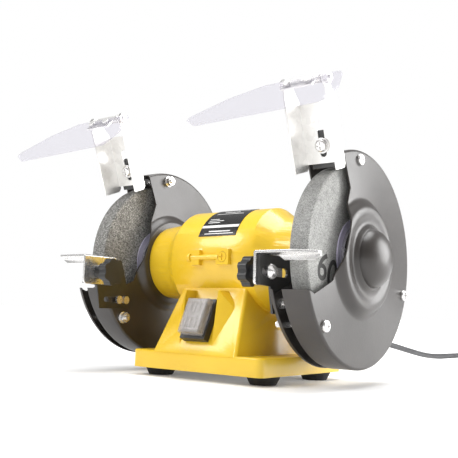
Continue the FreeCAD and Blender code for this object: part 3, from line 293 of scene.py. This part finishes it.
nodeMaterials = {
    enamel: ["base_casting", "motor_end_left", "motor_end_right", "motor_centre_band", "tie_bolts",
             "lock_screw"],
    guardPaint: ["guard_pan_right", "guard_cover_right", "guard_pan_left", "guard_cover_left"],
    blackSteel: ["rest_brackets", "spark_arrestors"],
    galvanised: ["shield_arm_left", "shield_arm_right", "shield_holder_left", "shield_holder_right"],
    zinc: ["bottom_plate", "bottom_screws", "wheel_flanges", "shaft_nuts", "guard_bolts",
           "guard_mount_screws", "bracket_screws", "bracket_nuts", "arm_screws", "m5_nuts",
           "tool_rest_left", "tool_rest_right", "rest_bolt_left", "rest_bolt_right",
           "shield_rod_left", "shield_rod_right"],
    steel: ["shaft", "bearing_outer_rings", "bearing_inner_rings", "bearing_balls", "wave_washer"],
    lamination: ["stator_core", "rotor_core"],
    copper: ["stator_windings"],
    coarseGrit: ["grinding_wheel_left"],
    fineGrit: ["grinding_wheel_right"],
    paper: ["wheel_blotters"],
    blackPlastic: ["switch_housing", "switch_rocker", "rest_knob_left", "rest_knob_right", "strain_relief"],
    labelFoil: ["rating_plate"],
    rubber: ["rubber_feet"],
    whitePlastic: ["wheel_bushes", "run_capacitor", "terminal_block"],
    sheath: ["mains_cord", "cord_coil", "plug_body"],
    brass: ["plug_pins"],
    smoke: ["switch_dust_cover"],
    clearSheet: ["eye_shield_left", "eye_shield_right"],
}
for material, names in nodeMaterials.items():
    for name in names:
        nodes[name].data.materials.clear()
        nodes[name].data.materials.append(material)


def finishPiece(name, bm, material, body, stands=(), smooth=35, recalc=True):
    if recalc:
        bmesh.ops.recalc_face_normals(bm, faces=bm.faces)
    mesh = meshOf(bm, name)
    mesh.shade_smooth()
    mesh.set_sharp_from_angle(angle=math.radians(smooth))
    mesh.materials.append(material)
    piece = linked(name, mesh)
    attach(piece, body)
    if stands:
        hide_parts(*stands)
    return piece


def bodyOf(nodeName):
    return next(body for body, members in frame["record"]["behaviour"]["bodies"].items() if nodeName in members)


def softened(nodeName, width, segments=2, smooth=35):
    node = nodes[nodeName]
    bm = bmesh.new()
    bm.from_mesh(node.data)
    bmesh.ops.remove_doubles(bm, verts=bm.verts, dist=2e-6)
    bmesh.ops.dissolve_limit(bm, angle_limit=math.radians(0.6), verts=bm.verts, edges=bm.edges)
    piece = finishPiece(nodeName + "_finish", bm, node.data.materials[0], bodyOf(nodeName),
                        [nodeName], smooth, False)
    edge = piece.modifiers.new("softEdges", "BEVEL")
    edge.width = width / 1000
    edge.segments = segments
    edge.limit_method = "ANGLE"
    edge.angle_limit = math.radians(smooth)
    edge.harden_normals = True
    return piece


cordSettings = {
    "radius": 3.3,
    "length": 1.80,
    "exit": (-10, 86, 45),
    "route": [(-10, 80, 45), (-9.6, 118, 44.3), (-7.5, 168, 41), (-4, 222, 35.4), (-0.5, 276, 28.4),
              (1.5, 330, 20.6), (0, 384, 12.8), (-4.5, 438, 6.6), (-8.5, 492, 3.7), (-8, 545, 3.4),
              (-2, 594, 3.4), (4.5, 634, 3.4)],
    "coilCentre": (51.5, 664),
    "turns": [(44.8, 3.4), (38.1, 3.4), (31.4, 3.4), (34.7, 9.1), (41.4, 9.1)],   # radius and height of each
    "pointsPerTurn": 16,
    "plugTail": [(96.3, 652, 8.6), (96.3, 640, 8.0), (96.3, 634, 8.0)],
    "plugEdge": 1.2,
}


def cordPoints(s):
    points = [Vector(p) for p in s["route"]]
    x, y = s["coilCentre"]
    count = s["pointsPerTurn"]
    for k, (radius, height) in enumerate(s["turns"]):
        nextRadius, nextHeight = s["turns"][min(k + 1, len(s["turns"]) - 1)]
        last = k == len(s["turns"]) - 1
        for step in range(count // 2 + 1 if last else count):
            share = max(0.0, 4 * step / count - 3)      # the last quarter moves over to the next turn
            r = radius + (nextRadius - radius) * share
            h = height + (nextHeight - height) * share
            angle = math.pi - 2 * math.pi * step / count
            points.append(Vector((x + r * math.cos(angle), y + r * math.sin(angle), h)))
    return [p / 1000 for p in points + [Vector(p) for p in s["plugTail"]]]


def makeCord(s):
    points = cordPoints(s)
    curve = bpy.data.curves.new("mainsCord", "CURVE")
    curve.dimensions = "3D"
    curve.bevel_depth = s["radius"] / 1000
    curve.bevel_resolution = 5
    curve.resolution_u = 8
    curve.use_fill_caps = True
    spline = curve.splines.new("NURBS")
    spline.points.add(len(points) - 1)
    for point, place in zip(spline.points, points):
        point.co = (*place, 1.0)
    spline.order_u = 3
    spline.use_endpoint_u = True
    curve.materials.append(sheath)
    cord = linked("mainsCord", curve)
    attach(cord, "frame")
    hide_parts("mains_cord", "cord_coil")
    plug = softened("plug_body", s["plugEdge"])


makeCord(cordSettings)
print("cord laid")

edgeWidths = {   # rounding of each piece's edges, mm
    "base_casting": 0.9, "motor_end_left": 0.5, "motor_end_right": 0.5, "motor_centre_band": 0.3,
    "tie_bolts": 0.3, "rest_brackets": 0.3, "spark_arrestors": 0.3, "tool_rest_left": 0.4,
    "tool_rest_right": 0.4, "shield_arm_left": 0.3, "shield_arm_right": 0.3, "switch_housing": 0.9,
    "switch_rocker": 0.6, "switch_dust_cover": 0.25, "rest_knob_left": 0.9, "rest_knob_right": 0.9,
    "m5_nuts": 0.25, "shaft_nuts": 0.5, "terminal_block": 0.5, "eye_shield_left": 0.35,
    "eye_shield_right": 0.35, "grinding_wheel_left": 0.5, "grinding_wheel_right": 0.5,
}
for nodeName, width in edgeWidths.items():
    softened(nodeName, width)
print("edges softened")

guardSettings = {
    "sheet": 1.2,
    "rim": 88.0,
    "bend": 2.5,
    "steps": 128,
    "innerFace": 87.0,       # motor-side pan
    "collar": 81.0,
    "outerFace": 121.5,      # outer cover
    "wideRim": 22.5,
    "narrowRim": 4.0,
    "bore": 14.0,
    "pressedRings": [   # rise above the face and radius at each end, and steps
        ((0.0, 50.0), (7.0, 39.5), 7), ((7.0, 37.0), (5.6, 29.5), 7), ((5.6, 28.0), (9.0, 23.5), 4),
    ],
    "domeFoot": 9.0,
    "domeRise": 13.8,
    "domeRadius": 23.5,
    "domeFullness": 1.15,
    "domeTip": 22.7,
    "panSlope": (47.0, 38.0),
    "panSteps": 7,
    "window": [(-40.6, 97.0), (-22.0, 54.5), (-45.0, -13.0), (-47.6, -19.8), (-74.2, -30.8), (-83.7, -28.0),
               (-125.0, -16.0), (-125.0, 40.0)],
    "windowEnds": (40, 180),
}


def eased(start, end, steps):
    (x0, r0), (x1, r1) = start, end
    shares = [k / steps for k in range(steps + 1)]
    return [(x0 + (x1 - x0) * (3 * t * t - 2 * t ** 3), r0 + (r1 - r0) * t) for t in shares]


def quarterTurn(steps, first, last):
    return [k * math.pi / 2 / steps for k in range(first, last + 1)]


def bentRim(s, face, side, rim):
    corner = [(face - side * s["bend"] * (1 - math.sin(angle)), s["rim"] - s["bend"] * (1 - math.cos(angle)))
              for angle in quarterTurn(6, 0, 6)]
    return [(face - side * rim, s["rim"])] + corner


def coverProfile(s, rim):
    face = s["outerFace"]
    profile = bentRim(s, face, 1, rim)
    for start, end, steps in s["pressedRings"]:
        profile += [(face + x, r) for x, r in eased(start, end, steps)]
    for angle in quarterTurn(10, 1, 9):
        rise = s["domeRise"] * math.sin(angle) ** s["domeFullness"]
        profile.append((face + s["domeFoot"] + rise, s["domeRadius"] * math.cos(angle)))
    return profile + [(face + s["domeTip"], 0.0)]


def panProfile(s, rim):
    face, collar = s["innerFace"], s["collar"]
    outer, inner = s["panSlope"]
    slope = eased((face, outer), (collar, inner), s["panSteps"])
    return bentRim(s, face, -1, rim) + slope + [(collar, s["bore"])]


def windowCutter(s):
    near, far = s["windowEnds"]
    bm = bmesh.new()
    face = bm.faces.new([bm.verts.new(mm(near, y, z) + shaftMiddle) for y, z in s["window"]])
    swept = bmesh.ops.extrude_face_region(bm, geom=[face])
    moved = [part for part in swept["geom"] if isinstance(part, bmesh.types.BMVert)]
    bmesh.ops.translate(bm, verts=moved, vec=mm(far - near, 0, 0))
    bmesh.ops.recalc_face_normals(bm, faces=bm.faces)
    return linked("windowCutter", meshOf(bm, "windowCutter"))


def addGuard(s, nodeName, profile, mirror, cutter):
    bm = spun([mm(x, 0, r) + shaftMiddle for x, r in profile], shaftMiddle, (1, 0, 0), s["steps"])
    bmesh.ops.recalc_face_normals(bm, faces=bm.faces)
    shell = linked("guardShell", meshOf(bm, "guardShell"))
    wall = shell.modifiers.new("wall", "SOLIDIFY")
    wall.thickness = s["sheet"] / 1000
    wall.offset = -1
    opening = shell.modifiers.new("opening", "BOOLEAN")
    opening.object = cutter
    opening.solver = "EXACT"
    bm = bmesh.new()
    bm.from_mesh(takenMesh(shell))
    if mirror:
        bmesh.ops.scale(bm, vec=(-1, 1, 1), verts=bm.verts)
        bmesh.ops.reverse_faces(bm, faces=bm.faces)
    finishPiece(nodeName + "_shell", bm, guardPaint, "frame", [nodeName], 32, False)


def addGuards(s):
    cutter = windowCutter(s)
    addGuard(s, "guard_cover_right", coverProfile(s, s["wideRim"]), False, cutter)
    addGuard(s, "guard_cover_left", coverProfile(s, s["narrowRim"]), True, cutter)
    addGuard(s, "guard_pan_right", panProfile(s, s["narrowRim"]), False, cutter)
    addGuard(s, "guard_pan_left", panProfile(s, s["wideRim"]), True, cutter)
    bpy.data.objects.remove(cutter)


addGuards(guardSettings)
print("guards formed")

labelSettings = {
    "radius": 46.26,
    "lift": 0.05,
    "steps": 6,
    "bars": [   # left end, right end, lower and upper angle above the front
        (-15.6, 24.1, 35.0, 38.6), (-6, 17, 29.2, 30.6), (-10, 21, 26.4, 27.4), (-12, 1, 42.5, 43.6),
        (-12, 4, 45.6, 46.5), (-12, -2, 48.6, 49.5), (-11, 18, 60.6, 61.5), (-4, 12, 65.0, 66.4),
        (-9, 19, 72.0, 72.8),
    ],
}


def addLabelBars(s):
    bm = bmesh.new()
    for left, right, low, high in s["bars"]:
        turn = Matrix.Rotation(math.radians(-low), 4, "X")
        outward = shaftMiddle + turn @ mm(0, -s["radius"], 0)
        ends = [bm.verts.new(mm(x, 0, 0) + outward) for x in (left, right)]
        edge = bm.edges.new(ends)
        bmesh.ops.spin(bm, geom=ends + [edge], cent=shaftMiddle, axis=(1, 0, 0),
                       angle=math.radians(low - high), steps=s["steps"])
    bmesh.ops.remove_doubles(bm, verts=bm.verts, dist=1e-7)
    bmesh.ops.solidify(bm, geom=bm.faces[:], thickness=s["lift"] / 1000)
    finishPiece("label_print", bm, labelInk, "frame")


addLabelBars(labelSettings)

gritSettings = {
    "body": "60",
    "height": 30.0,
    "weight": 0.4,
    "lift": 0.05,
    "place": (115.2, -46.0, 89.0),
    "turn": -18,
}


def addGritNumber(s):
    data = bpy.data.curves.new("gritNumber", "FONT")
    data.body = s["body"]
    data.size = s["height"] / 1000
    data.align_x = "CENTER"
    data.align_y = "CENTER"
    data.offset = s["weight"] / 1000
    data.extrude = s["lift"] / 1000
    bm = bmesh.new()
    bm.from_mesh(takenMesh(linked("gritNumber", data)))
    bmesh.ops.remove_doubles(bm, verts=bm.verts, dist=mergeGap)
    toFace = Matrix(((0, 0, 1), (1, 0, 0), (0, 1, 0))).to_4x4()
    place = Matrix.Translation(mm(*s["place"]) + mm(s["lift"], 0, 0))
    turn = Matrix.Rotation(math.radians(s["turn"]), 4, "X")
    bmesh.ops.transform(bm, matrix=place @ turn @ toFace, verts=bm.verts)
    finishPiece("grit_number", bm, wheelInk, "spindle")


addGritNumber(gritSettings)

coverSettings = {
    "columns": (-5.2, 0, 5.2),
    "rows": (20.8, 35.2),
    "rib": (2.4, 1.2, 9.6),
    "face": -15.0,
    "frontFoot": (0, -63, 22),      # foot of the pedestal's front face
    "frontLean": -24.67,
    "edge": 0.5,
}


def addCoverRibs(s):
    lean = Matrix.Rotation(math.radians(s["frontLean"]), 4, "X")
    onFront = Matrix.Translation(mm(*s["frontFoot"])) @ lean
    bm = bmesh.new()
    for x in s["columns"]:
        for z in s["rows"]:
            made = bmesh.ops.create_cube(bm, size=1.0)
            fit = Matrix.Diagonal((*mm(*s["rib"]), 1.0))
            place = onFront @ Matrix.Translation(mm(x, s["face"], z)) @ fit
            bmesh.ops.transform(bm, matrix=place, verts=made["verts"])
    bmesh.ops.bevel(bm, geom=bm.edges[:], offset=s["edge"] / 1000, offset_type="OFFSET", segments=3, profile=0.5,
                    affect="EDGES", material=-1)
    finishPiece("dust_cover_ribs", bm, smoke, "frame")


addCoverRibs(coverSettings)

reliefSettings = {
    "axis": (-10, 45),       # x and z
    "collar": [(55.0, 0.0), (55.0, 5.6), (58.0, 5.6), (58.0, 7.6), (58.4, 8.0), (60.1, 8.0), (60.5, 7.6)],
    "ribs": 7,
    "pitch": 3.3,
    "start": 61.6,
    "radii": (6.0, 4.5),     # of the ribs, first and last
    "groove": 1.0,
    "lands": (-0.9, 0.0, 0.3, 1.6),     # groove and rib ends along each pitch
    "steps": 40,
    "tip": [(85.6, 4.2), (86.0, 3.9), (86.0, 3.31)],
}


def addStrainRelief(s):
    x, z = s["axis"]
    profile = list(s["collar"])
    first, last = s["radii"]
    grooveStart, grooveEnd, ribStart, ribEnd = s["lands"]
    for k in range(s["ribs"]):
        y = s["start"] + k * s["pitch"]
        r = first + (last - first) * k / (s["ribs"] - 1)
        profile += [(y + grooveStart, r - s["groove"]), (y + grooveEnd, r - s["groove"]),
                    (y + ribStart, r), (y + ribEnd, r)]
    profile += s["tip"]
    bm = spun([mm(x, y, z + r) for y, r in profile], mm(x, 0, z), (0, 1, 0), s["steps"])
    finishPiece("strain_relief_boot", bm, blackPlastic, "frame", ["strain_relief"], 40)


addStrainRelief(reliefSettings)
print("fine parts made")

stageSettings = {
    "floor": (0.90, 0.90, 0.90),
    "floorHalf": 30,
    "floorGlow": (0.10, 1.0),    # near the machine and far away
    "glowReach": (0.55, 1.6),
    "seenWorld": 1.0,
    "lightWorld": 0.40,
    "lamps": [   # name, place, aim, size, power
        ("keySoftbox", (-0.9, -1.3, 1.25), (0, 0, 0.1), 1.0, 20),
        ("topSoftbox", (0.1, 0.1, 1.5), (0, 0, 0.1), 1.3, 26),
        ("rightWall", (2.1, 1.7, 0.85), (0.1, 0, 0.12), 2.2, 95),
    ],
}


def addWorld(s):
    world = bpy.data.worlds.new("studio")
    world.use_nodes = True
    tree = world.node_tree
    rays = tree.nodes.new("ShaderNodeLightPath")
    seen = tree.nodes.new("ShaderNodeMath")
    seen.operation = "MAXIMUM"
    strength = tree.nodes.new("ShaderNodeMapRange")
    strength.inputs["To Min"].default_value = s["lightWorld"]
    strength.inputs["To Max"].default_value = s["seenWorld"]
    tree.links.new(rays.outputs["Is Camera Ray"], seen.inputs[0])
    tree.links.new(rays.outputs["Is Transmission Ray"], seen.inputs[1])
    tree.links.new(seen.outputs[0], strength.inputs["Value"])
    back = tree.nodes["Background"]
    back.inputs["Color"].default_value = (1, 1, 1, 1)
    tree.links.new(strength.outputs["Result"], back.inputs["Strength"])
    bpy.context.scene.world = world


def addFloor(s):
    bm = bmesh.new()
    bmesh.ops.create_grid(bm, x_segments=1, y_segments=1, size=s["floorHalf"])
    mesh = meshOf(bm, "studioFloor")
    paint = newMaterial("studioFloor", s["floor"], 0.7, Emission_Color=(1.0, 1.0, 1.0, 1.0))
    tree = paint.node_tree
    away = tree.nodes.new("ShaderNodeVectorMath")
    away.operation = "LENGTH"
    tree.links.new(objectPoint(tree), away.inputs[0])
    glow = tree.nodes.new("ShaderNodeMapRange")
    glow.interpolation_type = "SMOOTHSTEP"
    for socket, value in zip(("From Min", "From Max", "To Min", "To Max"), s["glowReach"] + s["floorGlow"]):
        glow.inputs[socket].default_value = value
    tree.links.new(away.outputs["Value"], glow.inputs["Value"])
    tree.links.new(glow.outputs["Result"], shaderOf(tree).inputs["Emission Strength"])
    mesh.materials.append(paint)
    linked("studioFloor", mesh)


def addLamps(s):
    for name, place, aim, size, power in s["lamps"]:
        data = bpy.data.lights.new(name, "AREA")
        data.shape = "DISK"
        data.size = size
        data.energy = power
        lamp = linked(name, data)
        lamp.location = place
        lamp.rotation_euler = (Vector(aim) - Vector(place)).to_track_quat("-Z", "Y").to_euler()


addWorld(stageSettings)
addFloor(stageSettings)
addLamps(stageSettings)
bpy.context.scene.view_settings.view_transform = "Standard"
print("stage set")
